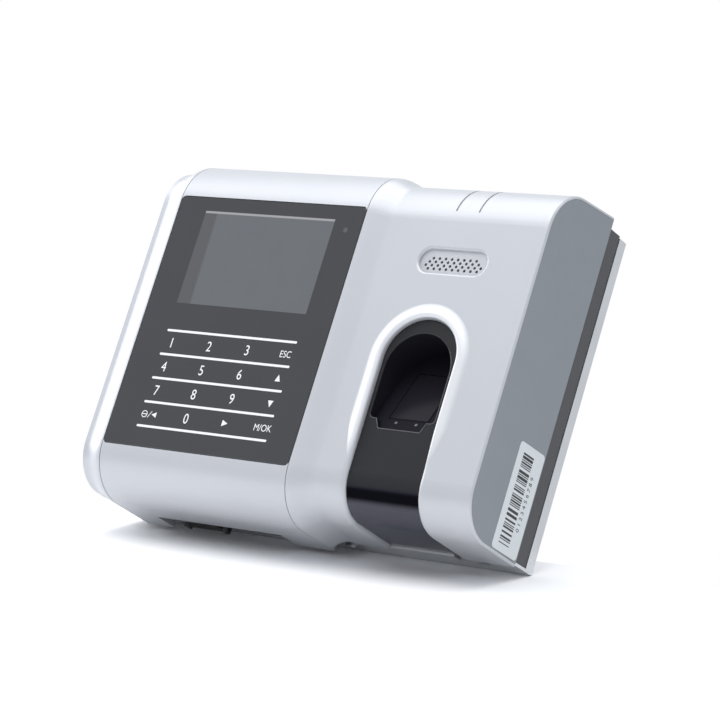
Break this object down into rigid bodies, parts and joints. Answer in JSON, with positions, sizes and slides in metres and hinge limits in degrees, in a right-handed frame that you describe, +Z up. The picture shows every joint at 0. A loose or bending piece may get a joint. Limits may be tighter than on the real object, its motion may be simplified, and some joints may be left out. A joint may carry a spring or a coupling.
{
  "type": "punch time clock",
  "caption": "Wall-mounted time clock with a display, a touch keypad and a fingerprint well, hung on a flat steel bracket.",
  "frame": {"origin": "centre of the four wall screws, on the back face of the wall bracket", "axes": "+X to the right seen from the front, +Y into the wall, +Z up; the display faces -Y"},
  "size_m": [0.1874, 0.0553, 0.1467],
  "materials": {
    "silver_paint": "satin silver paint on moulded plastic, fine sparkle",
    "grey_plastic": "fine grained mid grey moulding",
    "label_paper": "satin paper label",
    "dark_glass": "polished tinted glass with printed legends",
    "black_rubber": "soft black rubber",
    "display_glass": "unlit liquid crystal display",
    "zinc_steel": "zinc plated sheet",
    "circuit_board": "green solder mask",
    "clear_plastic": "clear light pipe",
    "well_black": "black moulding, satin face and glossy skirt",
    "sensor_glass": "polished prism",
    "charcoal_plastic": "fine grained dark moulding",
    "speaker_cloth": "black acoustic cloth",
    "screw_steel": "plated steel screw",
    "capacitor_can": "aluminium can",
    "relay_case": "blue relay case",
    "connector_plastic": "off-white moulding",
    "ribbon_film": "flexible film cable",
    "terminal_green": "green terminal block",
    "bracket_steel": "zinc plated steel sheet"
  },
  "bodies": {
    "bracket": {"wall_bracket": "bracket_steel", "lock_screw": "screw_steel"},
    "terminal": {"right_shell": "silver_paint", "left_rail": "silver_paint", "centre_bezel": "silver_paint", "right_side_cap": "grey_plastic", "left_side_cap": "grey_plastic", "side_label": "label_paper", "touch_panel": "dark_glass", "panel_gasket": "black_rubber", "display_module": "display_glass", "display_clip_frame": "zinc_steel", "touch_key_board": "circuit_board", "status_light_pipe": "clear_plastic", "finger_well": "well_black", "finger_lights": "clear_plastic", "sensor_window": "sensor_glass", "sensor_block": "charcoal_plastic", "sensor_board": "circuit_board", "speaker_gasket": "black_rubber", "speaker_cloth": "speaker_cloth", "speaker": "charcoal_plastic", "rear_shell": "charcoal_plastic", "rear_screws": "screw_steel", "main_board": "circuit_board", "board_screws": "screw_steel", "board_chips": "charcoal_plastic", "capacitors": "capacitor_can", "lock_relay": "relay_case", "battery_holder": "charcoal_plastic", "backup_battery": "zinc_steel", "buzzer": "charcoal_plastic", "ribbon_connectors": "connector_plastic", "display_ribbon": "ribbon_film", "sensor_ribbon": "ribbon_film", "usb_socket": "zinc_steel", "network_socket": "zinc_steel", "lock_terminals": "terminal_green", "power_terminals": "terminal_green", "tamper_switch": "charcoal_plastic", "reset_switch": "charcoal_plastic"},
    "socket_cover": {"usb_cover": "black_rubber"},
    "tamper": {"tamper_plunger": "connector_plastic"},
    "reset": {"reset_button": "connector_plastic"}
  },
  "joints": [
    {"name": "terminal_lift", "type": "slide", "parent": "bracket", "child": "terminal", "axis": [0, 0, 1], "range_m": [0, 0.007]},
    {"name": "socket_cover_swing", "type": "hinge", "parent": "terminal", "child": "socket_cover", "pos_m": [-0.05, -0.0156, -0.0705], "axis": [1, 0, 0], "range_deg": [0, 110]},
    {"name": "tamper_press", "type": "slide", "parent": "terminal", "child": "tamper", "axis": [0, -1, 0], "range_m": [0, 0.0015], "stiffness_N_per_m": 300},
    {"name": "reset_press", "type": "slide", "parent": "terminal", "child": "reset", "axis": [0, 0, 1], "range_m": [0, 0.0006], "stiffness_N_per_m": 400}
  ]
}
